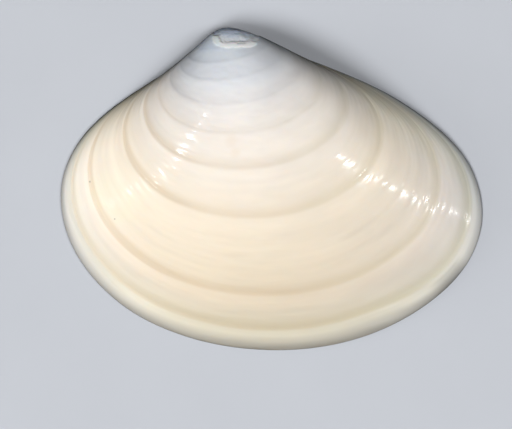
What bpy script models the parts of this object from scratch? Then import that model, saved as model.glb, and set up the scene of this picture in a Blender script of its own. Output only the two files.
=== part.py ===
"""Left valve of a small clam: one thin, wavy shell lying on its margin, hollow side down.

The outside follows the growth of a real valve. Every earlier margin has the shape of the
present one, shrunk about the beak and turned about the hinge line, so the whole outside is
one outline swept along a logarithmic spiral. Lengths are in metres, +Z is up, the hinge is
towards +Y and the front end of the animal towards -X.
"""

import math

import bmesh
import bpy
from mathutils import Matrix, Vector
from mathutils.bvhtree import BVHTree
from mathutils.geometry import interpolate_bezier

MM = 0.001

# Margin of the valve, in millimetres from the beak: front end, lower edge, hind end, hinge
OUTLINE_MM = (
    (-5.30, -4.91),
    (-4.93, -7.03),
    (-3.34, -8.91),
    (-1.02, -10.05),
    (1.71, -10.46),
    (4.31, -10.15),
    (6.58, -9.14),
    (8.20, -7.61),
    (8.73, -5.83),
    (8.08, -3.93),
    (6.03, -2.18),
    (3.27, -0.89),
    (2.15, -0.66),
    (0.51, -0.48),
    (-0.95, -0.78),
    (-1.61, -1.05),
    (-4.35, -3.04),
)
STEPS_PER_SPAN = 5

# Growth spiral: the margin shrinks to 1/e of its size in this many radians of turn
GROWTH_PER_RADIAN = 1.44
HINGE_RISE = math.radians(11.2)
HINGE_LEAN = math.radians(-3.6)

# Growth bands: the stage at which each stops, as a share of the full size, and how strongly
# it swells. The ridge of a band lies just past the stop that it starts from.
GROWTH_BANDS = (
    (0.1895, 0.8),
    (0.2424, 0.8),
    (0.3101, 0.8),
    (0.3876, 0.8),
    (0.4790, 1.0),
    (0.6082, 1.0),
    (0.8258, 1.0),
    (0.9301, 1.1),
    (1.0, 1.8),
)
RINGS_IN_BAND = (0.14, 0.4, 0.75, 1.0)
BAND_SWELL = 0.012
RIDGE_PLACE = 0.14

# Blunt edge of the margin: the stage where the outside starts to round down, how far down it
# comes, and its rings
EDGE_START = 0.965
EDGE_HEIGHT = 0.14 * MM
RINGS_IN_EDGE = (0.45, 0.76, 0.93, 1.0)

# Worn tip of the beak, where the outer layer has chipped off
TIP_STAGES = (0.04, 0.055, 0.072, 0.094, 0.118)
WORN_EDGE = (0.136, 0.144)
WORN_DEPTH = 0.05 * MM
WORN_FRONT = (-0.40 * MM, -0.15 * MM)
WORN_HEIGHT = (0.15 * MM, 0.60 * MM)

# Inside of the valve
RIM_WIDTH = 0.30 * MM
WALL = 0.32 * MM
HOLLOW_SHARE = 0.35
STEEPEST_WALL = 0.4
HOLLOW_CENTRE = Vector((1.7 * MM, -5.5 * MM))
HOLLOW_RINGS = (0.86, 0.7, 0.52, 0.33, 0.15)
CAVITY_STEP = 0.35 * MM
FIRST_STEP = 0.14 * MM

# Hinge plate below the beak: its ends, how much of the way to them it keeps its full width,
# and how soon it leaves the open wall
PLATE_REACH = (-2.6 * MM, 3.6 * MM)
PLATE_FULL = 0.15
PLATE_ONSET = 3.0
PLATE_WIDTH = 1.15 * MM
PLATE_RECESS = 0.28 * MM

# Teeth on the plate: top and foot of each from the beak, and its width
TEETH_MM = (
    ((-0.30, -0.98), (-1.00, -1.62), 0.17),
    ((0.10, -0.95), (0.16, -1.80), 0.22),
    ((0.48, -0.95), (1.50, -1.62), 0.15),
)
TOOTH_GAP = 0.05 * MM
TOOTH_ROOT = 0.20 * MM
TOOTH_CREST = 0.45
TOOTH_TOP = 0.6
TOOTH_SLOPE = 0.12 * MM

SHELL_COLOUR = (0.87, 0.79, 0.65, 1.0)
SHELL_ROUGHNESS = 0.32

HINGE_AXIS = Vector(
    (
        math.cos(HINGE_RISE) * math.cos(HINGE_LEAN),
        math.sin(HINGE_RISE) * math.cos(HINGE_LEAN),
        math.sin(HINGE_LEAN),
    )
)


def clear_scene():
    for item in list(bpy.data.objects):
        bpy.data.objects.remove(item, do_unlink=True)


def smooth_step(low, high, value):
    share = min(max((value - low) / (high - low), 0.0), 1.0)
    return share * share * (3.0 - 2.0 * share)


def tangents(points):
    count = len(points)
    return [(points[(i + 1) % count] - points[i - 1]).normalized() for i in range(count)]


def closed_outline():
    """Points of the margin on one smooth closed curve through OUTLINE_MM."""
    knots = [Vector((x * MM, y * MM, 0.0)) for x, y in OUTLINE_MM]
    directions = tangents(knots)
    points = []
    for i, start in enumerate(knots):
        j = (i + 1) % len(knots)
        reach = (knots[j] - start).length / 3.0
        leaving = start + directions[i] * reach
        arriving = knots[j] - directions[j] * reach
        span = interpolate_bezier(start, leaving, arriving, knots[j], STEPS_PER_SPAN + 1)
        points.extend(span[:-1])
    return points


def growth_directions(outline):
    """How the margin grows at each point: the step for one whole size, and the normal."""
    steps = [point + HINGE_AXIS.cross(point) / GROWTH_PER_RADIAN for point in outline]
    normals = [step.cross(along).normalized() for step, along in zip(steps, tangents(outline))]
    return steps, normals


def band_swell(stage):
    """How far a growth band swells out of the plain spiral, as a share of a growth step."""
    start = WORN_EDGE[1]
    for stop, strength in GROWTH_BANDS:
        if start < stage <= stop:
            ridge = (stage - start) / (stop - start) / RIDGE_PLACE
            return BAND_SWELL * strength * (stop - start) * ridge * math.exp(1.0 - ridge)
        start = stop
    return 0.0


def edge_rise(stage):
    """How far the outside stands above the plain spiral: none at the margin itself."""
    past = max(0.0, stage - EDGE_START) / (1.0 - EDGE_START)
    return EDGE_HEIGHT * math.sqrt(max(0.0, 1.0 - past * past))


def grown_ring(outline, steps, normals, stage, relief=1.0):
    """The margin as it was when the valve had this share of its size."""
    turn = Matrix.Rotation(math.log(stage) / GROWTH_PER_RADIAN, 3, HINGE_AXIS)
    swell = band_swell(stage)
    rise = Vector((0.0, 0.0, edge_rise(stage)))
    worn = WORN_DEPTH * (1.0 - smooth_step(*WORN_EDGE, stage))
    ring = []
    for point, step, normal in zip(outline, steps, normals):
        place = turn @ (point * stage)
        chipped = smooth_step(*WORN_FRONT, place.x) * smooth_step(*WORN_HEIGHT, place.z)
        height = relief * (swell * step.length - worn * chipped)
        ring.append(place + (turn @ normal) * height + rise)
    return ring


def growth_stages():
    stages = list(TIP_STAGES) + list(WORN_EDGE)
    start = WORN_EDGE[1]
    for stop, _ in GROWTH_BANDS:
        stages.extend(start + (stop - start) * share for share in RINGS_IN_BAND)
        start = stop
    stages = [stage for stage in stages if stage < EDGE_START]
    stages.append(EDGE_START)
    stages.extend(EDGE_START + (1.0 - EDGE_START) * share for share in RINGS_IN_EDGE)
    return stages


def plate_share(place):
    """1 in the middle of the hinge plate, 0 beyond its two ends."""
    low, high = PLATE_REACH
    if place.y < HOLLOW_CENTRE.y or not low < place.x < high:
        return 0.0
    reach = low if place.x < 0.0 else high
    return 1.0 - smooth_step(PLATE_FULL, 1.0, place.x / reach)


def hollow_height(skin, place):
    """Height of the inner face above the resting plane, one wall below the outside."""
    hit, normal, _, _ = skin.ray_cast(Vector((place.x, place.y, -MM)), Vector((0, 0, 1)))
    if hit is None:
        return 0.0
    wall = WALL / max(abs(normal.z), STEEPEST_WALL)
    return max(hit.z * HOLLOW_SHARE, hit.z - wall)


def hollow_rings(outline, skin):
    """Rings of the inner face: rim, hinge plate, its edge, then the hollow to its middle."""
    rim, plate, edge, below = [], [], [], []
    for point, along in zip(outline, tangents(outline)):
        inward = Vector((-along.y, along.x, 0.0))
        start = point + inward * RIM_WIDTH
        share = plate_share(start)
        centre = Vector((HOLLOW_CENTRE.x, HOLLOW_CENTRE.y, 0.0))
        towards = (centre - start).normalized()
        width = CAVITY_STEP + (PLATE_WIDTH - CAVITY_STEP) * share
        near = start + towards * FIRST_STEP
        far = start + towards * width
        deep = far + towards * CAVITY_STEP
        for place, ring in ((near, plate), (far, edge)):
            open_height = hollow_height(skin, place)
            closed_height = min(open_height, PLATE_RECESS)
            closed = min(1.0, PLATE_ONSET * share)
            place.z = open_height + (closed_height - open_height) * closed
            ring.append(place)
        deep.z = hollow_height(skin, deep)
        rim.append(start)
        below.append(deep)
    rings = [rim, plate, edge, below]
    for share in HOLLOW_RINGS:
        ring = []
        for place in below:
            inner = HOLLOW_CENTRE + (place.xy - HOLLOW_CENTRE) * share
            ring.append(Vector((inner.x, inner.y, hollow_height(skin, inner))))
        rings.append(ring)
    return rings


def add_ring(bm, points):
    return [bm.verts.new(point) for point in points]


def join_rings(bm, first, second):
    count = len(first)
    for i in range(count):
        j = (i + 1) % count
        bm.faces.new((first[i], first[j], second[j], second[i]))


def close_ring(bm, ring, point):
    middle = bm.verts.new(point)
    count = len(ring)
    for i in range(count):
        bm.faces.new((ring[i], ring[(i + 1) % count], middle))


def skin_tree(outline, steps, normals, stages):
    """The plain spiral without its bands, for measuring the wall from."""
    verts = []
    faces = []
    count = len(outline)
    for k, stage in enumerate(stages):
        verts.extend(grown_ring(outline, steps, normals, stage, relief=0.0))
        for i in range(count if k else 0):
            j = (i + 1) % count
            low, high = k * count, (k - 1) * count
            faces.append((low + i, low + j, high + j, high + i))
    return BVHTree.FromPolygons(verts, faces)


def valve_mesh():
    outline = closed_outline()
    steps, normals = growth_directions(outline)
    stages = growth_stages()
    bm = bmesh.new()
    rings = [add_ring(bm, grown_ring(outline, steps, normals, stage)) for stage in stages]
    for inner, outer in zip(rings, rings[1:]):
        join_rings(bm, outer, inner)
    tip = sum((vert.co for vert in rings[0]), Vector()) / len(rings[0])
    close_ring(bm, rings[0], tip)
    last = rings[-1]
    skin = skin_tree(outline, steps, normals, stages)
    for points in hollow_rings(outline, skin):
        ring = add_ring(bm, points)
        join_rings(bm, ring, last)
        last = ring
    top = Vector((HOLLOW_CENTRE.x, HOLLOW_CENTRE.y, 0.0))
    top.z = max(vert.co.z for vert in last)
    close_ring(bm, list(reversed(last)), top)
    return bm


def tooth_mesh(start_mm, foot_mm, width_mm):
    """A tapered ridge of the hinge, standing down from the plate."""
    start = Vector((start_mm[0] * MM, start_mm[1] * MM, 0.0))
    foot = Vector((foot_mm[0] * MM, foot_mm[1] * MM, 0.0))
    along = (foot - start).normalized()
    across = Vector((-along.y, along.x, 0.0)) * width_mm * MM / 2.0
    bm = bmesh.new()
    loops = []
    for height, spread, shorter in (
        (PLATE_RECESS + TOOTH_ROOT, 1.0, 0.0),
        (PLATE_RECESS, 1.0, 0.0),
        (TOOTH_GAP, TOOTH_CREST, TOOTH_SLOPE),
    ):
        near = start + along * shorter / 2.0
        far = foot - along * shorter
        corners = (
            near - across * spread * TOOTH_TOP,
            far - across * spread,
            far + across * spread,
            near + across * spread * TOOTH_TOP,
        )
        loops.append([bm.verts.new((c.x, c.y, height)) for c in corners])
    for upper, lower in zip(loops, loops[1:]):
        join_rings(bm, lower, upper)
    bm.faces.new(loops[0])
    bm.faces.new(list(reversed(loops[-1])))
    return bm


def object_from(bm, name):
    mesh = bpy.data.meshes.new(name)
    bm.to_mesh(mesh)
    bm.free()
    item = bpy.data.objects.new(name, mesh)
    bpy.context.scene.collection.objects.link(item)
    return item


def shell_material():
    material = bpy.data.materials.new("shell")
    material.use_nodes = True
    shader = material.node_tree.nodes["Principled BSDF"]
    shader.inputs["Base Color"].default_value = SHELL_COLOUR
    shader.inputs["Roughness"].default_value = SHELL_ROUGHNESS
    shader.inputs["Metallic"].default_value = 0.0
    return material


def stand_on_origin(items):
    """Move the meshes so that the valve's box is centred on the origin and rests at zero."""
    corners = [vert.co for vert in items[0].data.vertices]
    low = Vector([min(c[k] for c in corners) for k in range(3)])
    high = Vector([max(c[k] for c in corners) for k in range(3)])
    shift = Vector(((low.x + high.x) / -2.0, (low.y + high.y) / -2.0, -low.z))
    for item in items:
        item.data.transform(Matrix.Translation(shift))


def main():
    clear_scene()
    valve = object_from(valve_mesh(), "left_valve")
    teeth = [object_from(tooth_mesh(*tooth), "tooth_cutter") for tooth in TEETH_MM]
    stand_on_origin([valve] + teeth)
    for tooth in teeth:
        tooth.hide_render = True
        tooth.display_type = "WIRE"
        fuse = valve.modifiers.new("tooth", "BOOLEAN")
        fuse.operation = "UNION"
        fuse.object = tooth
    valve.data.materials.append(shell_material())
    valve.data.shade_smooth()
    valve.data.set_sharp_from_angle(angle=math.radians(50))


main()
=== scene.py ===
"""Looks of a small clam's left valve, lying on its margin and seen straight from above.

The outside is grown by Geometry Nodes along the same spiral as the solid model, with its
growth bands, fine lines and worn beak. The inside, with the hinge, is shaped from it.
"""

import math

import bmesh
import bpy
from bpy.props import FloatProperty, FloatVectorProperty, IntProperty, PointerProperty
from mathutils import Matrix, Vector
from mathutils.bvhtree import BVHTree


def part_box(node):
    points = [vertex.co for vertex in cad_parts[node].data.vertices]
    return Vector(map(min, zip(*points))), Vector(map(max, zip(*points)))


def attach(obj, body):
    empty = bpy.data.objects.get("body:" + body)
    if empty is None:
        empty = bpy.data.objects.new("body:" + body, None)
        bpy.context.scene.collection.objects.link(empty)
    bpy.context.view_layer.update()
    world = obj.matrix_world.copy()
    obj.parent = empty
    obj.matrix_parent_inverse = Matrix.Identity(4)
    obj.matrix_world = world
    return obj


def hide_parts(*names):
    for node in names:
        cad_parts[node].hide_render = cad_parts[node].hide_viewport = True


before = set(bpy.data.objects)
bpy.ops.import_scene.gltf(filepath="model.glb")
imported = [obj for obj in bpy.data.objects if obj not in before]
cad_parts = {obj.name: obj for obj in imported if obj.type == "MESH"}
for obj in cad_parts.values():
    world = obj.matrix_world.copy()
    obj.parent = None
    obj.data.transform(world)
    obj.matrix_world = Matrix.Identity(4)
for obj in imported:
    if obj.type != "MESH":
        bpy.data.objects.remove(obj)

bl_info = {
    "name": "Clam Valve",
    "version": (1, 0, 0),
    "blender": (4, 5, 0),
    "location": "3D View > Sidebar > Clam Valve",
    "description": "Grows one valve of a small clam and sets it on a pale stage",
    "category": "Object",
}

MM = 0.001
NODE = "left_valve"
BODY = "root"
FULL_TURN = 2.0 * math.pi
CAD_LOW, CAD_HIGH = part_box(NODE)
CAD_SIZE = CAD_HIGH - CAD_LOW

# Margin of the valve, in millimetres from the beak: front end, lower edge, hind end, hinge
OUTLINE_MM = (
    (-5.30, -4.91),
    (-4.93, -7.03),
    (-3.34, -8.91),
    (-1.02, -10.05),
    (1.71, -10.46),
    (4.31, -10.15),
    (6.58, -9.14),
    (8.20, -7.61),
    (8.73, -5.83),
    (8.08, -3.93),
    (6.03, -2.18),
    (3.27, -0.89),
    (2.15, -0.66),
    (0.51, -0.48),
    (-0.95, -0.78),
    (-1.61, -1.05),
    (-4.35, -3.04),
)

# Growth bands: the stage at which each stops, as a share of the full size, how strongly
# it swells, and how tan its stop is
GROWTH_BANDS = (
    (0.1895, 0.55, 0.5),
    (0.2424, 0.55, 0.3),
    (0.3101, 0.6, 0.3),
    (0.3876, 0.8, 0.3),
    (0.4790, 1.0, 0.6),
    (0.6082, 1.0, 0.7),
    (0.8258, 1.0, 0.9),
    (0.9301, 1.1, 1.0),
    (1.0, 1.8, 0.0),
)
FIRST_BAND_START = 0.144

# Fainter growth lines between the stops, and their strength
FAINT_LINES = (
    (0.439, 0.6),
    (0.518, 0.8),
    (0.544, 0.6),
    (0.668, 0.6),
    (0.722, 1.0),
    (0.7625, 0.8),
    (0.880, 0.7),
)

# What all lengths and all colours of the settings have in common
LENGTH_KIND = {"subtype": "DISTANCE", "unit": "LENGTH", "precision": 6}
COLOUR_KIND = {"subtype": "COLOR", "min": 0.0, "max": 1.0}


class ValveSettings(bpy.types.PropertyGroup):
    growth_per_radian: FloatProperty(
        name="Growth per radian",
        description="Natural logarithm of the margin's growth in one radian of turn",
        default=1.44,
        min=0.8,
        max=3.0,
    )
    hinge_rise: FloatProperty(
        name="Hinge rise",
        description="How far the hinge line climbs towards the hind end",
        default=math.radians(11.2),
        subtype="ANGLE",
    )
    hinge_lean: FloatProperty(
        name="Hinge lean",
        description="How far the hinge line dips out of the margin's plane",
        default=math.radians(-3.6),
        subtype="ANGLE",
    )
    youngest: FloatProperty(
        name="Youngest stage",
        description="Share of the full size at which the tip of the beak is closed",
        default=0.014,
        min=0.005,
        max=0.1,
    )
    points_around: IntProperty(
        name="Points around",
        description="Points on the margin",
        default=220,
        min=48,
        max=400,
    )
    growth_rings: IntProperty(
        name="Growth rings",
        description="Rings of mesh from the tip to the margin",
        default=330,
        min=60,
        max=400,
    )
    band_swell: FloatProperty(
        name="Band swell",
        description="Height of the ridge of a growth band as a share of its width",
        default=0.012,
        min=0.0,
        max=0.1,
    )
    line_depth: FloatProperty(
        name="Faint line depth",
        description="Depth of the faint growth lines",
        default=0.008 * MM,
        **LENGTH_KIND,
    )
    ripple_height: FloatProperty(
        name="Ripple height",
        description="Height of the uneven ripples along the growth lines",
        default=0.012 * MM,
        **LENGTH_KIND,
    )
    worn_depth: FloatProperty(
        name="Worn depth",
        description="Depth of the chipped patch on the beak",
        default=0.04 * MM,
        **LENGTH_KIND,
    )
    edge_height: FloatProperty(
        name="Edge height",
        description="Height of the blunt, rounded edge of the margin",
        default=0.14 * MM,
        **LENGTH_KIND,
    )
    wall: FloatProperty(
        name="Wall",
        description="Thickness of the valve away from the hinge",
        default=0.32 * MM,
        **LENGTH_KIND,
    )
    early_stop_colour: FloatVectorProperty(
        name="Early stops",
        description="Tint of the growth stops near the beak",
        default=(0.85, 0.865, 0.88),
        **COLOUR_KIND,
    )
    late_stop_colour: FloatVectorProperty(
        name="Late stops",
        description="Tan tint of the growth stops on the rest of the valve",
        default=(0.88, 0.84, 0.78),
        **COLOUR_KIND,
    )
    inner_colour: FloatVectorProperty(
        name="Inside",
        description="Porcelain white of the inner face and the hinge",
        default=(0.84, 0.83, 0.79),
        **COLOUR_KIND,
    )
    chalk_colour: FloatVectorProperty(
        name="Chalk",
        description="Chalky white where the outer layer has chipped off",
        default=(0.94, 0.96, 0.97),
        **COLOUR_KIND,
    )


class StageSettings(bpy.types.PropertyGroup):
    view_width: FloatProperty(
        name="View width",
        description="Width of the picture at the height of the valve",
        default=17.07 * MM,
        **LENGTH_KIND,
    )
    camera_height: FloatProperty(
        name="Camera height",
        description="Height of the camera above the floor",
        default=0.40,
        **LENGTH_KIND,
    )
    floor_colour: FloatVectorProperty(
        name="Floor",
        description="Pale grey of the floor",
        default=(0.50, 0.52, 0.56),
        **COLOUR_KIND,
    )
    key_power: FloatProperty(
        name="Key power",
        description="Power of the soft lamp at the front left; the fills follow it",
        default=0.482,
        min=0.0,
        unit="POWER",
    )
    glint_power: FloatProperty(
        name="Glint power",
        description="Power of a small lamp for the glints; each has its own share of it",
        default=0.04,
        min=0.0,
        unit="POWER",
    )
    world_strength: FloatProperty(
        name="Room light",
        description="Strength of the even light all round",
        default=0.005,
        min=0.0,
    )


def both_ways(operation):
    """The methods that put a field first or second in this kind of math node."""

    def first(self, other):
        return self.maker.math(operation, self, other)

    def second(self, other):
        return self.maker.math(operation, other, self)

    return first, second


class Field:
    """A number or vector in a node tree that can be used in ordinary sums."""

    def __init__(self, maker, socket):
        self.maker = maker
        self.socket = socket

    __add__, __radd__ = both_ways("ADD")
    __sub__, __rsub__ = both_ways("SUBTRACT")
    __mul__, __rmul__ = both_ways("MULTIPLY")
    __truediv__, __rtruediv__ = both_ways("DIVIDE")
    __pow__, __rpow__ = both_ways("POWER")


# The nodes step down to the right in the editor, this far apart and this many in a flight
NODE_SPACING = 60
NODES_IN_FLIGHT = 12


class NodeMaker:
    """Adds nodes to a tree and joins their sockets."""

    def __init__(self, tree):
        self.tree = tree

    def feed(self, socket, value):
        if isinstance(value, Field):
            value = value.socket
        if isinstance(value, bpy.types.NodeSocket):
            self.tree.links.new(value, socket)
        else:
            socket.default_value = value

    def node(self, kind, inputs=(), **settings):
        node = self.tree.nodes.new(kind)
        count = len(self.tree.nodes)
        node.location = (NODE_SPACING * count, -NODE_SPACING * (count % NODES_IN_FLIGHT))
        for name, value in settings.items():
            setattr(node, name, value)
        pairs = inputs.items() if isinstance(inputs, dict) else enumerate(inputs)
        for key, value in pairs:
            self.feed(node.inputs[key], value)
        return node

    def field(self, kind, inputs=(), output=0, **settings):
        return Field(self, self.node(kind, inputs, **settings).outputs[output])

    def math(self, operation, *values):
        return self.field("ShaderNodeMath", values, operation=operation)

    def vector(self, operation, *values, output=0):
        return self.field("ShaderNodeVectorMath", values, output, operation=operation)

    def scaled(self, vector, scale):
        return self.field(
            "ShaderNodeVectorMath", {0: vector, "Scale": scale}, operation="SCALE"
        )

    def rise(self, value, low, high, smooth=True):
        """0 below low, 1 above high, eased between them."""
        kind = "SMOOTHSTEP" if smooth else "LINEAR"
        return self.field("ShaderNodeMapRange", (value, low, high), interpolation_type=kind)

    def fall(self, value, low, high, smooth=True):
        """1 below low, 0 above high, eased between them."""
        return 1.0 - self.rise(value, low, high, smooth)

    def rotated(self, vector, axis, angle):
        inputs = {"Vector": vector, "Axis": axis, "Angle": angle}
        return self.field("ShaderNodeVectorRotate", inputs, rotation_type="AXIS_ANGLE")

    def noise(self, vector, scale, detail=2.0, roughness=0.5):
        inputs = {"Vector": vector, "Scale": scale, "Detail": detail, "Roughness": roughness}
        return self.field("ShaderNodeTexNoise", inputs)

    def combined(self, x, y, z):
        return self.field("ShaderNodeCombineXYZ", (x, y, z))

    def grain(self, cx, cy, age, around, along, shift=0.0, detail=2.0, roughness=0.5):
        """Noise drawn out along the growth lines, this fine around the valve and along its age."""
        place = self.combined(cx * around, cy * around, age * along + shift)
        return self.noise(place, 1.0, detail, roughness)

    def stored(self, geometry, name, value, kind="FLOAT"):
        """The geometry with this value kept on its points."""
        inputs = {"Geometry": geometry, "Name": name, "Value": value}
        return self.node("GeometryNodeStoreNamedAttribute", inputs, data_type=kind).outputs[0]

    def attribute(self, name, kind="FLOAT"):
        """A value kept on the points, read by a geometry tree."""
        read = "GeometryNodeInputNamedAttribute"
        return self.field(read, {"Name": name}, "Attribute", data_type=kind)

    def shown(self, name):
        """A value kept on the points, read by a material."""
        return self.field("ShaderNodeAttribute", output="Fac", attribute_name=name)

    def tinted(self, colour, tint):
        return self.vector("MULTIPLY", colour, tint)

    def separate(self, vector):
        node = self.node("ShaderNodeSeparateXYZ", (vector,))
        return [Field(self, output) for output in node.outputs]


def add_sockets(tree, direction, sockets):
    for name, kind in sockets:
        socket_type = "NodeSocket" + kind
        tree.interface.new_socket(name=name, in_out=direction, socket_type=socket_type)


# Where in a band its ridge lies
RIDGE_PLACE = 0.14

# How far the tan of a stop spreads before and past it, the most that this may be as a share
# of the band's width, and how far past the stop the tan is deepest
TAN_BEFORE = 0.034
TAN_PAST = 0.011
MOST_TAN_BEFORE = 0.6
MOST_TAN_PAST = 0.5
TAN_SHIFT = 0.002


def growth_band_group():
    """One growth band: a low ridge just past the stop that starts it, then a slow fall."""
    tree = bpy.data.node_groups.new("Growth Band", "GeometryNodeTree")
    numbers = ("Stage", "Start", "End", "Swell", "Tan", "Narrow")
    add_sockets(tree, "INPUT", [(name, "Float") for name in numbers])
    add_sockets(tree, "OUTPUT", [("Swell", "Float"), ("Tan", "Float")])
    make = NodeMaker(tree)
    given = make.node("NodeGroupInput").outputs
    stage, start, end, strength, darkness, narrow = (Field(make, given[k]) for k in range(6))
    width = end - start
    share = make.rise(stage, start, end, smooth=False)
    ridge = share / RIDGE_PLACE
    swell = ridge * make.math("EXPONENT", 1.0 - ridge) * width * strength
    reach_past = make.math("MINIMUM", width * MOST_TAN_PAST, narrow * TAN_PAST)
    reach_before = make.math("MINIMUM", width * MOST_TAN_BEFORE, narrow * TAN_BEFORE)
    past = (stage - end - TAN_SHIFT) / reach_past
    before = (end + TAN_SHIFT - stage) / reach_before
    tan = make.fall(make.math("MAXIMUM", past, before), 0.0, 1.0) * darkness
    make.node("NodeGroupOutput", (swell, tan))
    return tree


def faint_line_group():
    """One faint growth line: a narrow, shallow groove."""
    tree = bpy.data.node_groups.new("Faint Line", "GeometryNodeTree")
    add_sockets(tree, "INPUT", [(name, "Float") for name in ("Stage", "Place", "Width")])
    add_sockets(tree, "OUTPUT", [("Line", "Float")])
    make = NodeMaker(tree)
    given = make.node("NodeGroupInput").outputs
    away = make.math("ABSOLUTE", Field(make, given["Stage"]) - given["Place"])
    line = make.fall(away, 0.0, given["Width"])
    make.node("NodeGroupOutput", (line,))
    return tree


GROWTH_INPUTS = (
    ("Margin", "Geometry"),
    ("Points Around", "Int"),
    ("Growth Rings", "Int"),
    ("Youngest Stage", "Float"),
    ("Growth Per Radian", "Float"),
    ("Hinge Axis", "Vector"),
    ("Band Swell", "Float"),
    ("Line Depth", "Float"),
    ("Ripple Height", "Float"),
    ("Worn Depth", "Float"),
    ("Edge Height", "Float"),
    ("Seed", "Float"),
    ("Material", "Material"),
)
SEED = 3.0

# The blunt edge: the stage where it starts, the share of the rings that it takes, and the
# share of its height that stands upright at the margin
EDGE_STAGE = 0.965
EDGE_RINGS = 0.06
EDGE_FOOT = 0.2

# Widest spacing of the growth lines, and the share of it below which they crowd no more.
# From here on, a pair of numbers is the range over which something sets in: a place runs
# from 0 in the middle of the valve to 1 at its end, and an age is a share of the full size.
FASTEST_GROWTH = 13.3 * MM
SLOWEST_GROWTH = 0.45
CROWDED_PLACE = (0.0, 0.6)

# Slow wander of the lines, and the lag of the hind end in the last band
LINE_WANDER = 0.006
WANDER_SCALE = 1.6
WANDER_ALONG = 3.0
STEADY_EDGE = (0.0, 0.05)
HIND_LAG = 0.018
LAG_PLACE = (0.6, 1.0)
LAG_AGE = (0.85, 0.93)

# The tan of the stops: the spacing at which it sets in, which falls towards the front end,
# and where it is twice as deep, all but at the last stop
TAN_SPACING = (0.07, 0.5)
TAN_SPACING_FALL = (0.02, 0.1)
DEEP_TAN_PLACE = (0.3, 0.9)
LAST_STOP_AGE = (0.86, 0.9)

# Faint lines, which break off here and there, and ripples that run with them
LINE_WIDTH = 0.014
LINE_BREAKS = (0.35, 0.65)
LIVELY_AGE = (0.15, 0.4)
CALM_FLANK = 0.8
CALM_PLACE = (0.5, 0.9)
CALM_TOP = (-0.5, 0.1)

# The ridges stand higher at the front end, below the slope that leads to the hinge
FULLER_FRONT = 0.8
FULLER_PLACE = (0.3, 1.0)
FULLER_TOP = (-0.1, 0.4)

# The chipped patch on the beak, from the beak: a rounded box, with a chalky ledge along
# its lower side that ends at a line which falls towards the hind end
WORN_CENTRE = Vector((0.50 * MM, 0.28 * MM))
WORN_REACH = Vector((0.80 * MM, 0.70 * MM))
WORN_SQUARE = 5.0
WORN_LOWEST = 0.25 * MM
WORN_RAGGED = 0.12 * MM
WORN_EASE = 0.05 * MM
RAGGED_SCALE = 3.5 / MM
ROUGH_SCALE = 5.0 / MM
LEDGE_WIDTH = 0.17 * MM
LEDGE_TOP = -0.04 * MM
LEDGE_SLOPE = 0.16
LEDGE_RAGGED = 0.06 * MM
LEDGE_RISE = 0.25
HOLLOW_EASE = 0.10 * MM
HOLLOW_DEPTH = 0.7
HOLLOW_ROUGH = 1.2
CRACK_WIDTH = 0.035 * MM
CRACK_DEPTH = 0.4
CRACK_START = (0.0, 0.1 * MM)
CRACK_SCALE = 3.0 / MM
CRACK_BREAKS = (0.48, 0.56)


def growing_tube(make, given):
    """An open tube, one ring for each stage, with its stage and its place kept on its points."""
    tube = make.node(
        "GeometryNodeMeshCylinder",
        {
            "Vertices": given["Points Around"],
            "Side Segments": given["Growth Rings"],
            "Radius": 1.0,
            "Depth": 1.0,
        },
        fill_type="NONE",
    )
    circle = make.field("GeometryNodeInputPosition")
    x, y, z = make.separate(circle)
    up = z + 0.5
    edge = make.rise(up, 0.0, EDGE_RINGS, smooth=False) * (math.pi / 2.0)
    rest = make.rise(up, EDGE_RINGS, 1.0, smooth=False)
    stage = (
        EDGE_STAGE
        + make.math("COSINE", edge) * (1.0 - EDGE_STAGE)
        - rest * (EDGE_STAGE - given["Youngest Stage"])
    )
    turn = make.math("ARCTAN2", y, x) / FULL_TURN
    geometry = tube.outputs["Mesh"]
    for name, kind, value in (
        ("stage", "FLOAT", stage),
        ("lift", "FLOAT", make.math("SINE", edge)),
        ("around", "FLOAT", make.math("WRAP", turn, 1.0, 0.0)),
        ("circle", "FLOAT_VECTOR", circle),
    ):
        geometry = make.stored(geometry, name, value, kind)
    return geometry


def growth_lines(make, band_swell, aged, narrow):
    """Ridges of the growth bands, tan of their stops and faint lines between them."""
    bands = growth_band_group()
    swell = groove = 0.0
    start = FIRST_BAND_START
    for stop, strength, tan in GROWTH_BANDS:
        inputs = (aged, start, stop, band_swell * strength, tan, narrow)
        band = make.node("GeometryNodeGroup", inputs, node_tree=bands)
        swell = Field(make, band.outputs["Swell"]) + swell
        groove = make.math("MAXIMUM", band.outputs["Tan"], groove)
        start = stop
    lines = faint_line_group()
    faint = 0.0
    for place, strength in FAINT_LINES:
        inputs = (aged, place, narrow * LINE_WIDTH)
        line = make.node("GeometryNodeGroup", inputs, node_tree=lines)
        faint = Field(make, line.outputs["Line"]) * strength + faint
    return swell, groove, faint


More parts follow.
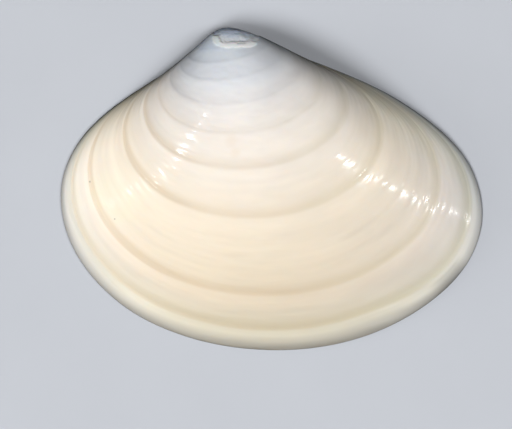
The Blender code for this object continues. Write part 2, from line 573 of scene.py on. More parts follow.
def worn_beak(make, plain):
    """The chipped patch: where it, its hollow and its crack lie, and how high it stands."""
    px, py, pz = make.separate(plain)
    across = make.math("ABSOLUTE", (px - WORN_CENTRE.x) / WORN_REACH.x) ** WORN_SQUARE
    below = make.math("MAXIMUM", (WORN_CENTRE.y - py) / WORN_REACH.y, 0.0) ** WORN_SQUARE
    inside = (1.0 - (across + below) ** (1.0 / WORN_SQUARE)) * WORN_REACH.y
    inside = make.math("MINIMUM", inside, pz - WORN_LOWEST)
    ragged = make.noise(plain, RAGGED_SCALE, detail=3.0, roughness=0.6) - 0.5
    inside = inside + ragged * WORN_RAGGED
    rough = make.noise(plain, ROUGH_SCALE, detail=3.0, roughness=0.6) - 0.5
    worn = make.rise(inside, 0.0, WORN_EASE)
    past = inside - LEDGE_WIDTH + rough * WORN_RAGGED
    over = py + px * LEDGE_SLOPE + rough * LEDGE_RAGGED - LEDGE_TOP
    hollow = make.rise(make.math("MAXIMUM", past, over), 0.0, HOLLOW_EASE) * worn
    crack = make.fall(make.math("ABSOLUTE", past), 0.0, CRACK_WIDTH)
    crack = crack * make.fall(over, -WORN_EASE, 0.0) * make.rise(px, *CRACK_START)
    crack = crack * make.rise(make.noise(plain, CRACK_SCALE, detail=1.0), *CRACK_BREAKS)
    ledge = worn * (1.0 - hollow) * LEDGE_RISE
    dent = hollow * (HOLLOW_DEPTH + rough * HOLLOW_ROUGH)
    return worn, hollow, crack, ledge - dent - crack * CRACK_DEPTH


def growth_tree():
    """The spiral growth of the valve's outside, from its margin curve."""
    tree = bpy.data.node_groups.new("Growth Spiral", "GeometryNodeTree")
    add_sockets(tree, "INPUT", GROWTH_INPUTS)
    add_sockets(tree, "OUTPUT", [("Valve", "Geometry")])
    make = NodeMaker(tree)
    given = {s.name: Field(make, s) for s in make.node("NodeGroupInput").outputs if s.name}

    geometry = growing_tube(make, given)
    stage = make.attribute("stage")
    cx, cy, _ = make.separate(make.attribute("circle", "FLOAT_VECTOR"))
    hindward, upward = 0.0 - cx, 0.0 - cy
    sample = make.node(
        "GeometryNodeSampleCurve",
        {"Curves": given["Margin"], "Factor": make.attribute("around")},
        mode="FACTOR",
        use_all_curves=True,
    )
    margin = Field(make, sample.outputs["Position"])
    along = Field(make, sample.outputs["Tangent"])
    axis = given["Hinge Axis"]
    turning = make.vector("CROSS_PRODUCT", axis, margin)
    step = make.vector("ADD", margin, make.scaled(turning, 1.0 / given["Growth Per Radian"]))
    facing = make.vector("CROSS_PRODUCT", step, along)
    normal = make.vector("NORMALIZE", facing)
    # How far apart the lines lie, as a share of their widest spacing
    pace = make.vector("LENGTH", facing, output="Value") / FASTEST_GROWTH
    crowding = 1.0 / make.math("MAXIMUM", pace, SLOWEST_GROWTH) - 1.0
    narrow = 1.0 + crowding * make.rise(hindward, *CROWDED_PLACE)
    angle = make.math("LOGARITHM", stage, math.e) / given["Growth Per Radian"]
    plain = make.rotated(make.scaled(margin, stage), axis, angle)
    outward = make.rotated(normal, axis, angle)

    # The lines go round the margin without a seam, so their wander reads the circle
    wander_place = make.combined(cx, cy, stage * WANDER_ALONG + given["Seed"])
    wander = make.noise(wander_place, WANDER_SCALE) - 0.5
    aged = stage + wander * LINE_WANDER * stage * make.rise(1.0 - stage, *STEADY_EDGE)
    aged = aged - make.rise(hindward, *LAG_PLACE) * make.rise(stage, *LAG_AGE) * HIND_LAG

    swell, groove, faint = growth_lines(make, given["Band Swell"], aged, narrow)
    sets_in, is_full = (
        start - cx * fall for start, fall in zip(TAN_SPACING, TAN_SPACING_FALL)
    )
    groove = groove * make.rise(pace, sets_in, is_full)
    deeper = make.rise(cx, *DEEP_TAN_PLACE) * make.fall(aged, *LAST_STOP_AGE)
    groove = groove * (1.0 + deeper)
    faint = faint * make.rise(make.grain(cx, cy, aged, around=2.0, along=8.0), *LINE_BREAKS)
    ripple = make.grain(
        cx, cy, aged, around=1.4, along=22.0, shift=given["Seed"], detail=3.0, roughness=0.6
    )
    flank = make.rise(hindward, *CALM_PLACE) * make.rise(upward, *CALM_TOP)
    lively = make.rise(stage, *LIVELY_AGE) * pace * (1.0 - flank * CALM_FLANK)
    fuller = make.rise(cx, *FULLER_PLACE) * make.fall(upward, *FULLER_TOP) * FULLER_FRONT
    worn, hollow, crack, chipped = worn_beak(make, plain)
    height = (
        swell * pace * FASTEST_GROWTH * (1.0 + fuller)
        - faint * given["Line Depth"] * lively
        + (ripple - 0.5) * given["Ripple Height"] * lively
        + chipped * given["Worn Depth"]
    )
    for name, value in (
        ("age", aged),
        ("lively", lively),
        ("groove", groove),
        ("faint", faint),
        ("worn", worn),
        ("hollow", hollow),
        ("crack", crack),
    ):
        geometry = make.stored(geometry, name, value)
    blunt = EDGE_FOOT + make.attribute("lift") * (1.0 - EDGE_FOOT)
    raised = blunt * given["Edge Height"]
    place = make.vector("ADD", plain, make.scaled(outward, height))
    place = make.vector("ADD", place, make.combined(0.0, 0.0, raised))
    moved = make.node("GeometryNodeSetPosition", {"Geometry": geometry, "Position": place})
    smooth = make.node("GeometryNodeSetShadeSmooth", (moved.outputs[0],))
    real = make.node("GeometryNodeRealizeInstances", (smooth.outputs[0],))
    inputs = {"Geometry": real.outputs[0], "Material": given["Material"]}
    finished = make.node("GeometryNodeSetMaterial", inputs)
    make.node("NodeGroupOutput", (finished.outputs[0],))
    return tree


def direction(up, turn):
    """Unit vector at this angle out of the floor's plane, turned this far left from the right."""
    level = math.cos(up)
    return Vector((level * math.cos(turn), level * math.sin(turn), math.sin(up)))


def margin_curve():
    """The margin as a closed Bezier curve, with the beak at the origin."""
    curve = bpy.data.curves.new("margin", "CURVE")
    curve.dimensions = "3D"
    curve.resolution_u = 24
    spline = curve.splines.new("BEZIER")
    spline.bezier_points.add(len(OUTLINE_MM) - 1)
    spline.use_cyclic_u = True
    knots = [Vector((x * MM, y * MM, 0.0)) for x, y in OUTLINE_MM]
    count = len(knots)
    for i, point in enumerate(spline.bezier_points):
        before, after = knots[i - 1], knots[(i + 1) % count]
        along = (after - before).normalized()
        point.co = knots[i]
        point.handle_left_type = point.handle_right_type = "FREE"
        point.handle_left = knots[i] - along * (knots[i] - before).length / 3.0
        point.handle_right = knots[i] + along * (after - knots[i]).length / 3.0
    item = bpy.data.objects.new("margin", curve)
    bpy.context.scene.collection.objects.link(item)
    return item


def grown_mesh(curve, tree, values):
    """The mesh that the growth tree makes from the margin with these inputs."""
    modifier = curve.modifiers.new("growth", "NODES")
    modifier.node_group = tree
    sockets = {s.name: s.identifier for s in tree.interface.items_tree if s.in_out == "INPUT"}
    for name, value in values.items():
        modifier[sockets[name]] = value
    depsgraph = bpy.context.evaluated_depsgraph_get()
    mesh = bpy.data.meshes.new_from_object(curve.evaluated_get(depsgraph))
    curve.modifiers.remove(modifier)
    while mesh.materials and mesh.materials[0] is None:
        mesh.materials.pop(index=0)
    return mesh


def smooth_step(low, high, value):
    """0 below low, 1 above high, eased between them."""
    share = min(max((value - low) / (high - low), 0.0), 1.0)
    return share * share * (3.0 - 2.0 * share)


def add_ring(bm, points):
    return [bm.verts.new(point) for point in points]


def join_rings(bm, first, second):
    """A band of faces between two rings of as many points."""
    count = len(first)
    for i in range(count):
        j = (i + 1) % count
        bm.faces.new((first[i], first[j], second[j], second[i]))


def close_ring(bm, ring, point):
    """A fan of faces from a ring to this point."""
    middle = bm.verts.new(point)
    count = len(ring)
    for i in range(count):
        bm.faces.new((ring[i], ring[(i + 1) % count], middle))
    return middle


def middle_of(ring):
    return sum((vert.co for vert in ring), Vector()) / len(ring)


# Points whose stages differ by less than this lie on one ring
SAME_STAGE = 1e-6

# Inside of the valve: its rounded lip and flat rim, the hollow, and the hinge plate. The
# hollow's centre and the plate's reach are taken from the beak.
LIP_RADIUS = 0.03 * MM
LIP_STEPS = 3
FLAT_RIM = 0.12 * MM
RIM_RISE = 0.45 * MM
HOLLOW_SHARE = 0.35
STEEPEST_WALL = 0.4
HOLLOW_CENTRE = Vector((1.7 * MM, -5.5 * MM))
HOLLOW_STEPS = 54
HOLLOW_CROWDING = 1.6
LAST_STEP = 0.96
PLATE_REACH = (-2.6 * MM, 3.6 * MM)
PLATE_WIDTH = 1.15 * MM
PLATE_RECESS = 0.28 * MM
PLATE_EDGE = 0.25 * MM
PLATE_ENDS = (0.15, 1.0)
PLATE_HOLD = 3.0

# Teeth on the plate: top and foot of each from the beak, and its width, in millimetres
TEETH_MM = (
    ((-0.30, -0.98), (-1.00, -1.62), 0.17),
    ((0.10, -0.95), (0.16, -1.80), 0.22),
    ((0.48, -0.95), (1.50, -1.62), 0.15),
)
TOOTH_CORNERS = 24
TOOTH_ROOT = 0.20 * MM

# How far down a tooth reaches and how wide it still is there, as shares
TOOTH_PROFILE = ((0.0, 1.0), (0.25, 0.94), (0.5, 0.82), (0.75, 0.64), (0.92, 0.42), (1.0, 0.2))
TOOTH_GAP = 0.05 * MM
TOOTH_SHORTENING = 0.25
TOOTH_FLARE = 0.2


def plate_share(place):
    """1 in the middle of the hinge plate, 0 beyond its two ends."""
    low, high = PLATE_REACH
    if place.y < HOLLOW_CENTRE.y or not low < place.x < high:
        return 0.0
    reach = low if place.x < 0.0 else high
    return 1.0 - smooth_step(*PLATE_ENDS, place.x / reach)


def hollow_height(skin, place, wall):
    """Height of the inner face above the resting plane, one wall below the outside."""
    hit, normal, _, _ = skin.ray_cast(Vector((place.x, place.y, -MM)), Vector((0, 0, 1)))
    if hit is None:
        return 0.0
    return max(hit.z * HOLLOW_SHARE, hit.z - wall / max(abs(normal.z), STEEPEST_WALL))


def inner_columns(margin, skin, wall):
    """For each point of the margin, the points of the inner face from the rim to the middle."""
    columns = []
    count = len(margin)
    for i, start in enumerate(margin):
        along = (margin[(i + 1) % count] - margin[i - 1]).normalized()
        inward = Vector((-along.y, along.x, 0.0))
        foot = Vector((start.x, start.y, 0.0))
        column = []
        for k in range(1, LIP_STEPS + 1):
            turn = math.pi / 2.0 * k / LIP_STEPS
            lip = inward * LIP_RADIUS * (1.0 - math.cos(turn))
            column.append(foot + lip + Vector((0.0, 0.0, start.z * (1.0 - math.sin(turn)))))
        rim = column[-1]
        way = Vector((HOLLOW_CENTRE.x, HOLLOW_CENTRE.y, 0.0)) - rim
        share = plate_share(rim)
        for k in range(1, HOLLOW_STEPS + 1):
            gone = (k / HOLLOW_STEPS) ** HOLLOW_CROWDING * LAST_STEP
            place = rim + way * gone
            away = way.length * gone
            height = hollow_height(skin, place, wall)
            if share > 0.0:
                width = PLATE_WIDTH * share
                closed = min(height, PLATE_RECESS)
                opening = smooth_step(width, width + PLATE_EDGE, away)
                held = closed + (height - closed) * opening
                height += (held - height) * min(1.0, PLATE_HOLD * share)
            place.z = height * smooth_step(FLAT_RIM, RIM_RISE, away)
            column.append(place)
        columns.append(column)
    return columns


def add_tooth(bm, top_mm, foot_mm, width_mm):
    """A rounded ridge of the hinge, standing down from the plate, wider at its foot."""
    top = Vector((top_mm[0] * MM, top_mm[1] * MM, 0.0))
    foot = Vector((foot_mm[0] * MM, foot_mm[1] * MM, 0.0))
    middle = (top + foot) / 2.0
    along = (foot - top) / 2.0
    across = Vector((-along.y, along.x, 0.0)).normalized() * width_mm * MM / 2.0
    levels = [(PLATE_RECESS + TOOTH_ROOT, 1.0)]
    for share, spread in TOOTH_PROFILE:
        levels.append((PLATE_RECESS + (TOOTH_GAP - PLATE_RECESS) * share, spread))
    rings = []
    for height, spread in levels:
        points = []
        for k in range(TOOTH_CORNERS):
            turn = FULL_TURN * k / TOOTH_CORNERS
            out = math.cos(turn)
            length = out * (1.0 - TOOTH_SHORTENING * (1.0 - spread))
            width = math.sin(turn) * spread * (1.0 - TOOTH_FLARE * (1.0 - out))
            point = middle + along * length + across * width
            point.z = height
            points.append(point)
        rings.append(add_ring(bm, points))
    for upper, lower in zip(rings, rings[1:]):
        join_rings(bm, lower, upper)
    tips = [close_ring(bm, rings[0], middle_of(rings[0]))]
    tips.append(close_ring(bm, list(reversed(rings[-1])), middle_of(rings[-1])))
    return [vert for ring in rings for vert in ring] + tips


def fit_to_node(bm):
    """Lay the valve in the box of its CAD node, shrunk where it would stand out of it."""
    low = Vector([min(vert.co[k] for vert in bm.verts) for k in range(3)])
    high = Vector([max(vert.co[k] for vert in bm.verts) for k in range(3)])
    fit = min(CAD_SIZE[k] / (high[k] - low[k]) for k in range(3))
    scale = min(1.0, fit)
    shift = Vector(
        (
            (CAD_LOW.x + CAD_HIGH.x) / 2.0 - (low.x + high.x) / 2.0 * scale,
            (CAD_LOW.y + CAD_HIGH.y) / 2.0 - (low.y + high.y) / 2.0 * scale,
            CAD_LOW.z - low.z * scale,
        )
    )
    bm.transform(Matrix.Translation(shift) @ Matrix.Scale(scale, 4))


def finish_valve(mesh, skin, settings):
    """Close the grown outside with its rim, inner face and hinge teeth, and place it."""
    bm = bmesh.new()
    bm.from_mesh(mesh)
    stage = bm.verts.layers.float["stage"]
    around = bm.verts.layers.float["around"]
    inner = bm.verts.layers.float.new("inner")
    depth = bm.verts.layers.float.new("depth")
    oldest = max(vert[stage] for vert in bm.verts)
    youngest = min(vert[stage] for vert in bm.verts)
    rings = []
    for level in (oldest, youngest):
        ring = [vert for vert in bm.verts if abs(vert[stage] - level) < SAME_STAGE]
        rings.append(sorted(ring, key=lambda vert: vert[around]))
    margin, tip = rings
    close_ring(bm, tip, middle_of(tip))[stage] = youngest
    columns = inner_columns([vert.co.copy() for vert in margin], skin, settings.wall)
    last = margin
    inside = []
    for k, points in enumerate(zip(*columns)):
        ring = add_ring(bm, points)
        share = max(0, k + 1 - LIP_STEPS) / HOLLOW_STEPS
        for vert in ring:
            vert[depth] = share ** HOLLOW_CROWDING
        join_rings(bm, ring, last)
        inside += ring
        last = ring
    inside.append(close_ring(bm, list(reversed(last)), middle_of(last)))
    inside[-1][depth] = 1.0
    for tooth in TEETH_MM:
        inside += add_tooth(bm, *tooth)
    for vert in inside:
        vert[stage] = oldest
        vert[inner] = 1.0
    for face in bm.faces:
        face.smooth = True
    fit_to_node(bm)
    bm.to_mesh(mesh)
    bm.free()


WHITE = (1.0, 1.0, 1.0)

# Colour of the outside by age, as a share of the full size
COLOUR_BY_AGE = (
    (0.145, (0.70, 0.77, 0.86)),
    (0.17, (0.71, 0.75, 0.80)),
    (0.22, (0.71, 0.73, 0.77)),
    (0.265, (0.76, 0.77, 0.79)),
    (0.30, (0.79, 0.77, 0.76)),
    (0.35, (0.82, 0.78, 0.74)),
    (0.42, (0.84, 0.78, 0.71)),
    (0.51, (0.85, 0.78, 0.69)),
    (0.56, (0.83, 0.75, 0.64)),
    (0.65, (0.84, 0.75, 0.62)),
    (0.715, (0.82, 0.73, 0.60)),
    (0.785, (0.79, 0.70, 0.57)),
    (0.855, (0.79, 0.70, 0.58)),
    (0.885, (0.73, 0.66, 0.55)),
    (0.915, (0.72, 0.66, 0.54)),
    (0.955, (0.77, 0.73, 0.62)),
    # The last three stops are painted shade, darker where the blunt edge turns down to the margin
    (0.975, (0.61, 0.58, 0.51)),
    (0.985, (0.50, 0.48, 0.43)),
    (0.995, (0.41, 0.39, 0.35)),
)

# Tan of the stops at the hind end, where it sets in, and the age at which tan takes over
HIND_STOP = (0.87, 0.86, 0.79)
HIND_PLACE = (0.2, 0.9)
FRONT_PLACE = (0.5, 1.0)
TAN_AGE = (0.3, 0.42)

# Axes over the outside. "fore" runs from -1 at the hind end to 1 at the front end, "low"
# from -1 at the hinge to 1 at the lower edge, and "hind" and "top" the other way. "age" runs
# from 0 at the beak to 1 at the margin, and "young" the other way. A patch is a strength,
# and for each axis that it depends on the range over which it sets in.
SLOPE = ("top", -0.1, 0.6)
FRONT_HALF = ("fore", -0.2, 0.2)
HIND_HALF = ("hind", -0.2, 0.2)
LATE = ("age", 0.86, 0.97)
FRONT_RIM = (("fore", 0.6, 0.9), ("low", -0.5, -0.1))
WARM_PATCHES = (
    (0.35, (SLOPE,)),
    (0.45, (SLOPE, FRONT_HALF)),
    (0.35, (("top", -0.5, 0.1), ("fore", 0.5, 1.0))),
)
RED_LOSS = ((0.05, (SLOPE,)),)
BLUE_GAIN = (
    (0.05, (SLOPE, HIND_HALF)),
    (-0.07, (SLOPE, HIND_HALF, ("age", 0.55, 0.7))),
    (0.07, (SLOPE, HIND_HALF, ("age", 0.86, 0.95))),
)
# Painted shade: the slopes up to the hinge, the hind flank of the beak and parts of the rim
# darker, as where less light falls on them; the last patch paints light onto part of the front rim
PAINTED_SHADE_PATCHES = (
    (0.03, (SLOPE,)),
    (0.50, (SLOPE, FRONT_HALF)),
    (0.45, (SLOPE, ("young", 0.38, 0.7))),
    (0.28, (SLOPE, LATE)),
    (0.07, (("top", -0.5, 0.0), LATE)),
    (0.07, (("top", -0.25, 0.0), ("hind", 0.9, 1.0))),
    (0.36, (("low", 0.1, 0.4), ("hind", 0.7, 0.92), ("age", 0.955, 0.99))),
    (0.18, (("low", 0.2, 0.3), ("hind", 0.87, 0.93), ("age", 0.943, 0.953))),
    (0.15, (*FRONT_RIM, ("age", 0.93, 0.942))),
    (-0.09, (*FRONT_RIM, ("age", 0.95, 0.985))),
)

# How the two ends grow cooler with age: less red and more blue
MOST_ENDS = 1.1
COOL_FROM = 0.3
COOL_AGE = (0.55, 0.9)
COOL_RED = 0.06
COOL_BLUE = 0.17

# How the shade changes away from this age, at both ends, towards the front and in the middle
EVEN_AGE = 0.57
END_SHADE = 0.7
FRONT_SHADE = 0.15
MIDDLE_SHADE = -0.1

# Strength of the streaks, of the broader ones at the two ends, and of the faint lines
STREAK_SHADE = 0.08
BROAD_SHADE = 0.26
FAINT_SHADE = 0.05

# Shade of the lower edge as a whole, and how much brighter the two ends are
LOWER_SHADE = 0.97
ENDS_BRIGHTER = 0.05

# Small marks: place in the node's own frame and reach along both axes, in millimetres
SPECKS = ((-6.05, 0.24, 0.045, 0.045), (-5.22, -1.0, 0.04, 0.04))
STAINS = ((-1.35, 1.6, 0.3, 0.3), (-1.2, 1.2, 0.25, 0.25))
# The pale patches and their tint are a painted sheen on the front flank, lighter where a lamp's
# broad reflection falls
PAINTED_SHEEN_PATCHES = ((-5.5, -0.1, 1.0, 1.0), (-5.0, -0.6, 0.9, 0.9))
SPECK_SHADE = 0.4
STAIN_TINT = (0.98, 0.96, 0.93)
PAINTED_SHEEN_TINT = (1.02, 1.05, 1.02)

# The worn beak: a bluish chip at the front end of its ledge, a mottled hollow, and painted shade
# in its crack
CHIP_COLOUR = (0.88, 0.96, 1.0)
CHIP_PLACE = (-1.80 * MM, -1.65 * MM)
HOLLOW_TOP_COLOUR = (0.70, 0.80, 1.06)
HOLLOW_LOW_COLOUR = (0.88, 0.94, 1.04)
HOLLOW_LOW_PLACE = (4.90 * MM, 5.25 * MM)
MOTTLE_SCALE = 2.2 / MM
MOTTLE_SHARE = 0.5
LOW_SHARE = 0.6
MOTTLE_RANGE = (0.2, 0.8)
CRACK_PAINTED_SHADE = 0.3

# Finish of the surface: glossy, and light goes a little way into it
PORCELAIN = {
    "Roughness": 0.14,
    "IOR": 1.5,
    "Subsurface Weight": 0.5,
    "Subsurface Radius": (1.0, 0.8, 0.6),
    "Subsurface Scale": 0.15 * MM,
}

# Fine grooves along the growth lines, shallower where the surface is calm
STRIAE_HEIGHT = 0.02 * MM
CALM_STRIAE = 0.4

# The inner face: scars of the two muscles, and the line of the mantle with its bay
SCARS = ((-5.3, 0.5, 0.75, 1.05), (4.8, 0.9, 0.85, 1.15))
SCAR_COLOUR = (0.70, 0.70, 0.68)
SCAR_EDGE = 0.85
SCAR_SHARE = 0.5
MANTLE_LINE = 0.3
MANTLE_WIDTH = 0.014
MANTLE_TOP = (0.2 * MM, 0.9 * MM)
MANTLE_BAY = 0.24
BAY_REACH = (1.6 * MM, 5.0 * MM)
BAY_HALF_WIDTH = (0.2 * MM, 1.5 * MM)
BAY_MIDDLE = -0.6 * MM


def ramp(make, value, stops):
    """A colour ramp through (place, colour) pairs."""
    node = make.node("ShaderNodeValToRGB", (value,))
    elements = node.color_ramp.elements
    while len(elements) > 1:
        elements.remove(elements[-1])
    for k, (place, colour) in enumerate(stops):
        element = elements[0] if k == 0 else elements.new(place)
        element.position = place
        element.color = (*colour, 1.0)
    return Field(make, node.outputs["Color"])


def mixed(make, share, first, second):
    """The first colour where the share is 0, and the second where it is 1."""
    node = make.node("ShaderNodeMix", data_type="RGBA")
    make.feed(node.inputs[0], share)
    # The sockets for colours come after those for numbers and vectors
    for socket, colour in ((node.inputs[6], first), (node.inputs[7], second)):
        make.feed(socket, colour if isinstance(colour, Field) else (*colour, 1.0))
    return Field(make, node.outputs[2])


def spots(make, place, marks, soft=0.2):
    """1 in the middle of each mark, falling to 0 at its reach from this share of it."""
    share = 0.0
    px, py, _ = make.separate(place)
    for x, y, reach_x, reach_y in marks:
        off_x = (px - x * MM) / (reach_x * MM)
        off_y = (py - y * MM) / (reach_y * MM)
        away = (off_x * off_x + off_y * off_y) ** 0.5
        share = make.math("MAXIMUM", make.fall(away, soft, 1.0), share)
    return share


def patches(make, axes, table):
    """The sum of a table's patches, each of them set in along its own axes."""
    total = 0.0
    for strength, ranges in table:
        share = strength
        for axis, low, high in ranges:
            share = make.rise(axes[axis], low, high) * share
        total = share + total
    return total


def grown_colour(make, settings, axes):
    """The outside by age: its stops, streaks and cooler ends, with painted shade on slopes and
    rim.
    """
    age, cx, cy = axes["age"], axes["fore"], axes["low"]
    groove, faint, lively = (make.shown(name) for name in ("groove", "faint", "lively"))
    hind = make.rise(axes["hind"], *HIND_PLACE)
    tan = mixed(make, hind, settings.late_stop_colour, HIND_STOP)
    tan = mixed(make, make.rise(age, *TAN_AGE), settings.early_stop_colour, tan)
    colour = ramp(make, age, COLOUR_BY_AGE)
    colour = make.tinted(colour, mixed(make, groove, WHITE, tan))
    # 0 at the lower edge, 1 at both ends, and hardly more beside the hinge
    ends = make.math("MINIMUM", 1.0 - cy, MOST_ENDS)
    warm = patches(make, axes, WARM_PATCHES)
    cool = (ends - warm - COOL_FROM) * make.rise(age, *COOL_AGE)
    cooler = make.combined(1.0 - cool * COOL_RED, 1.0, 1.0 + cool * COOL_BLUE)
    colour = make.tinted(colour, cooler)
    red_loss, blue_gain = (patches(make, axes, table) for table in (RED_LOSS, BLUE_GAIN))
    colour = make.tinted(colour, make.combined(1.0 - red_loss, 1.0, 1.0 + blue_gain))
    streaks = make.grain(cx, cy, age, around=1.2, along=18.0, detail=1.0) - 0.5
    fine = make.grain(cx, cy, age, around=2.5, along=45.0) - 0.5
    broad = make.grain(cx, cy, age, around=1.0, along=15.0, shift=5.0, detail=1.0) - 0.5
    tone = (streaks + fine * lively) * STREAK_SHADE
    tone = tone + broad * (hind + make.rise(cx, *FRONT_PLACE)) * BROAD_SHADE
    growing = (age - EVEN_AGE) * (ends * END_SHADE + cx * FRONT_SHADE + MIDDLE_SHADE)
    shade = 1.0 + growing + tone - faint * lively * FAINT_SHADE
    shade = shade * (LOWER_SHADE + ends * ENDS_BRIGHTER)
    # Darken it with the painted shade of the slopes and rim
    return make.scaled(colour, shade * (1.0 - patches(make, axes, PAINTED_SHADE_PATCHES)))


def marked_colour(make, colour, place):
    """The outside with its dark specks, its faint stain and its painted sheen on the front flank.
    """
    colour = make.scaled(colour, 1.0 - spots(make, place, SPECKS) * SPECK_SHADE)
    for marks, tint in ((STAINS, STAIN_TINT), (PAINTED_SHEEN_PATCHES, PAINTED_SHEEN_TINT)):
        colour = mixed(make, spots(make, place, marks), colour, make.tinted(colour, tint))
    return colour


def worn_colour(make, settings, colour, place):
    """The outside with the chalk and hollow of its worn beak, and painted shade in its crack."""
    worn, hollow, crack = (make.shown(name) for name in ("worn", "hollow", "crack"))
    px, py, _ = make.separate(place)
    chalk = mixed(make, make.fall(px, *CHIP_PLACE), settings.chalk_colour, CHIP_COLOUR)
    colour = mixed(make, worn, colour, chalk)
    mottle = make.noise(place, MOTTLE_SCALE) * MOTTLE_SHARE
    low_down = make.fall(py, *HOLLOW_LOW_PLACE, smooth=False)
    share = make.rise(mottle + low_down * LOW_SHARE, *MOTTLE_RANGE)
    bluish = mixed(make, share, HOLLOW_TOP_COLOUR, HOLLOW_LOW_COLOUR)
    colour = mixed(make, hollow, colour, bluish)
    # Painted shade darkens the crack
    return make.scaled(colour, 1.0 - crack * CRACK_PAINTED_SHADE)


def inside_colour(make, settings, place):
    """The inner face, with the scars of two muscles and the line of the mantle."""
    px, py, _ = make.separate(place)
    bay = make.rise(px, *BAY_REACH)
    bay = bay * make.fall(make.math("ABSOLUTE", py - BAY_MIDDLE), *BAY_HALF_WIDTH)
    away = make.math("ABSOLUTE", make.shown("depth") - MANTLE_LINE - bay * MANTLE_BAY)
    mark = make.fall(away, 0.0, MANTLE_WIDTH) * make.fall(py, *MANTLE_TOP)
    mark = make.math("MAXIMUM", mark, spots(make, place, SCARS, soft=SCAR_EDGE))
    return mixed(make, mark * SCAR_SHARE, settings.inner_colour, SCAR_COLOUR)


def shell_material(settings):
    """Porcelain-like shell: cream with tan growth stops, bluish beak and white rim."""
    material = bpy.data.materials.new("shell_porcelain")
    material.use_nodes = True
    tree = material.node_tree
    make = NodeMaker(tree)
    shader = tree.nodes["Principled BSDF"]
    circle = make.field("ShaderNodeAttribute", output="Vector", attribute_name="circle")
    cx, cy, _ = make.separate(circle)
    age = make.shown("age")
    axes = {
        "fore": cx,
        "hind": 0.0 - cx,
        "low": cy,
        "top": 0.0 - cy,
        "age": age,
        "young": 1.0 - age,
    }
    place = make.node("ShaderNodeTexCoord").outputs["Object"]
    colour = grown_colour(make, settings, axes)
    colour = marked_colour(make, colour, place)
    colour = worn_colour(make, settings, colour, place)
    inside = inside_colour(make, settings, place)
    colour = mixed(make, make.shown("inner"), colour, inside)
    make.feed(shader.inputs["Base Color"], colour)

    striae = make.grain(cx, cy, age, around=5.0, along=60.0, detail=0.0) - 0.5
    striae = striae * (CALM_STRIAE + make.shown("lively") * (1.0 - CALM_STRIAE))
    inputs = {"Height": striae, "Strength": 1.0, "Distance": STRIAE_HEIGHT}
    bump = make.node("ShaderNodeBump", inputs)
    make.feed(shader.inputs["Normal"], bump.outputs["Normal"])
    for name, value in PORCELAIN.items():
        shader.inputs[name].default_value = value
    return material


class VALVE_OT_grow(bpy.types.Operator):
    """Grow the valve from its margin, with its growth bands, worn beak and hinge"""

    bl_idname = "valve.grow"
    bl_label = "Grow the valve"

    def execute(self, context):
        settings = context.scene.valve_settings
        material = shell_material(settings)
        curve = margin_curve()
        tree = growth_tree()
        values = {
            "Points Around": settings.points_around,
            "Growth Rings": settings.growth_rings,
            "Youngest Stage": settings.youngest,
            "Growth Per Radian": settings.growth_per_radian,
            "Hinge Axis": direction(settings.hinge_lean, settings.hinge_rise),
            "Band Swell": settings.band_swell,
            "Line Depth": settings.line_depth,
            "Ripple Height": settings.ripple_height,
            "Worn Depth": settings.worn_depth,
            "Edge Height": settings.edge_height,
            "Seed": SEED,
            "Material": material,
        }
        plain = dict.fromkeys(("Band Swell", "Line Depth", "Ripple Height", "Worn Depth"), 0.0)
        outside = grown_mesh(curve, tree, values)
        smooth = grown_mesh(curve, tree, values | plain)
        bpy.data.objects.remove(curve, do_unlink=True)
        skin_bm = bmesh.new()
        skin_bm.from_mesh(smooth)
        skin = BVHTree.FromBMesh(skin_bm)
        skin_bm.free()
        bpy.data.meshes.remove(smooth)
        finish_valve(outside, skin, settings)
        item = bpy.data.objects.new("left_valve_shell", outside)
        context.scene.collection.objects.link(item)
        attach(item, BODY)
        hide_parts(NODE)
        return {"FINISHED"}


SENSOR = 36.0
VIEW_CENTRE = Vector((-0.52 * MM, -0.85 * MM))
FLOOR_HALF = 0.3
FLOOR_GAP = 0.01 * MM
LAMP_TARGET = Vector((0.0, 0.0, 1.0 * MM))
LAMP_DISTANCE = 0.25
LAMP_SIZE = 0.12
GLINT_SIZE = 0.0055

# Lamps: degrees above the floor and degrees turned left from the right, and the power as a
# share of the key power, or of the glint power for the small ones
SOFT_LAMPS = (
    ("key", 60, 225, 1.0),
    ("right fill", 60, 0, 0.66),
    ("left fill", 20, 180, 0.45),
)
GLINT_LAMPS = (
    ("left glint 1", 51, 160, 0.3),
    ("left glint 2", 46.5, 182, 0.75),
    ("left glint 3", 34, 190, 0.12),
    ("right glint 1", 56, -2, 0.8),
    ("right glint 2", 44, -8, 0.6),
    ("right glint 3", 33, -6, 0.3),
)

# Speckle of the floor: its scale, and where it is darkest and plain
FLOOR_GRAIN = 300.0
FLOOR_SPECKLE = ((0.3, 0.98), (0.7, 1.0))


def floor_material(colour):
    material = bpy.data.materials.new("floor_matt")
    material.use_nodes = True
    shader = material.node_tree.nodes["Principled BSDF"]
    make = NodeMaker(material.node_tree)
    place = make.node("ShaderNodeTexCoord").outputs["Object"]
    grain = make.noise(place, FLOOR_GRAIN, detail=3.0)
    stops = [(share, tuple(c * shade for c in colour)) for share, shade in FLOOR_SPECKLE]
    make.feed(shader.inputs["Base Color"], ramp(make, grain, stops))
    shader.inputs["Roughness"].default_value = 0.8
    return material


def round_lamp(name, way, size, power):
    """A round lamp in this direction from the valve, facing it."""
    lamp = bpy.data.lights.new(name, "AREA")
    lamp.shape = "DISK"
    lamp.size = size
    lamp.energy = power
    item = bpy.data.objects.new(name, lamp)
    item.location = LAMP_TARGET + way.normalized() * LAMP_DISTANCE
    item.rotation_euler = way.to_track_quat("Z", "Y").to_euler()
    bpy.context.scene.collection.objects.link(item)
    return item


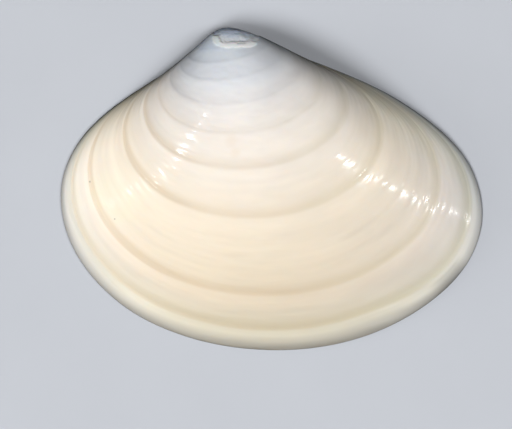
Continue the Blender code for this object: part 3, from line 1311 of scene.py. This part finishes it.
class VALVE_OT_stage(bpy.types.Operator):
    """Add the pale floor, the soft lamps and the camera straight above"""

    bl_idname = "valve.stage"
    bl_label = "Set the stage"

    def execute(self, context):
        scene = context.scene
        settings = scene.stage_settings
        bm = bmesh.new()
        bmesh.ops.create_grid(bm, x_segments=1, y_segments=1, size=FLOOR_HALF)
        mesh = bpy.data.meshes.new("floor")
        bm.to_mesh(mesh)
        bm.free()
        mesh.materials.append(floor_material(settings.floor_colour))
        floor = bpy.data.objects.new("floor", mesh)
        floor.location.z = -FLOOR_GAP
        # No light comes back up from below, as over an unlit ground
        floor.visible_diffuse = False
        floor.visible_glossy = False
        scene.collection.objects.link(floor)

        for lamps, size, power, soft in (
            (SOFT_LAMPS, LAMP_SIZE, settings.key_power, True),
            (GLINT_LAMPS, GLINT_SIZE, settings.glint_power, False),
        ):
            for name, up, turn, share in lamps:
                way = direction(math.radians(up), math.radians(turn))
                lamp = round_lamp(name, way, size, power * share)
                # The large ones light the valve, and the small ones only make its glints
                lamp.visible_diffuse = soft
                lamp.visible_glossy = not soft

        world = bpy.data.worlds.new("studio")
        world.use_nodes = True
        background = world.node_tree.nodes["Background"]
        background.inputs["Color"].default_value = (*WHITE, 1.0)
        background.inputs["Strength"].default_value = settings.world_strength
        scene.world = world
        scene.view_settings.view_transform = "Standard"

        camera = bpy.data.cameras.new("camera")
        camera.sensor_width = SENSOR
        camera.lens = SENSOR * settings.camera_height / settings.view_width
        camera.clip_start = 0.01
        camera.clip_end = 2.0
        item = bpy.data.objects.new("camera", camera)
        item.location = (VIEW_CENTRE.x, VIEW_CENTRE.y, settings.camera_height)
        scene.collection.objects.link(item)
        scene.camera = item
        return {"FINISHED"}


class VALVE_PT_panel(bpy.types.Panel):
    """Sizes and colours of the valve, and the steps that make it"""

    bl_idname = "VALVE_PT_panel"
    bl_label = "Clam Valve"
    bl_space_type = "VIEW_3D"
    bl_region_type = "UI"
    bl_category = "Clam Valve"

    def draw(self, context):
        layout = self.layout
        for settings, step in (
            (context.scene.valve_settings, VALVE_OT_grow),
            (context.scene.stage_settings, VALVE_OT_stage),
        ):
            for name in settings.__annotations__:
                layout.prop(settings, name)
            layout.operator(step.bl_idname)
            layout.separator()


CLASSES = (ValveSettings, StageSettings, VALVE_OT_grow, VALVE_OT_stage, VALVE_PT_panel)


def register():
    for item in CLASSES:
        bpy.utils.register_class(item)
    bpy.types.Scene.valve_settings = PointerProperty(type=ValveSettings)
    bpy.types.Scene.stage_settings = PointerProperty(type=StageSettings)


def unregister():
    del bpy.types.Scene.stage_settings
    del bpy.types.Scene.valve_settings
    for item in reversed(CLASSES):
        bpy.utils.unregister_class(item)


def main():
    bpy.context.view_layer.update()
    register()
    bpy.ops.valve.grow()
    bpy.ops.valve.stage()


if __name__ == "__main__":
    main()
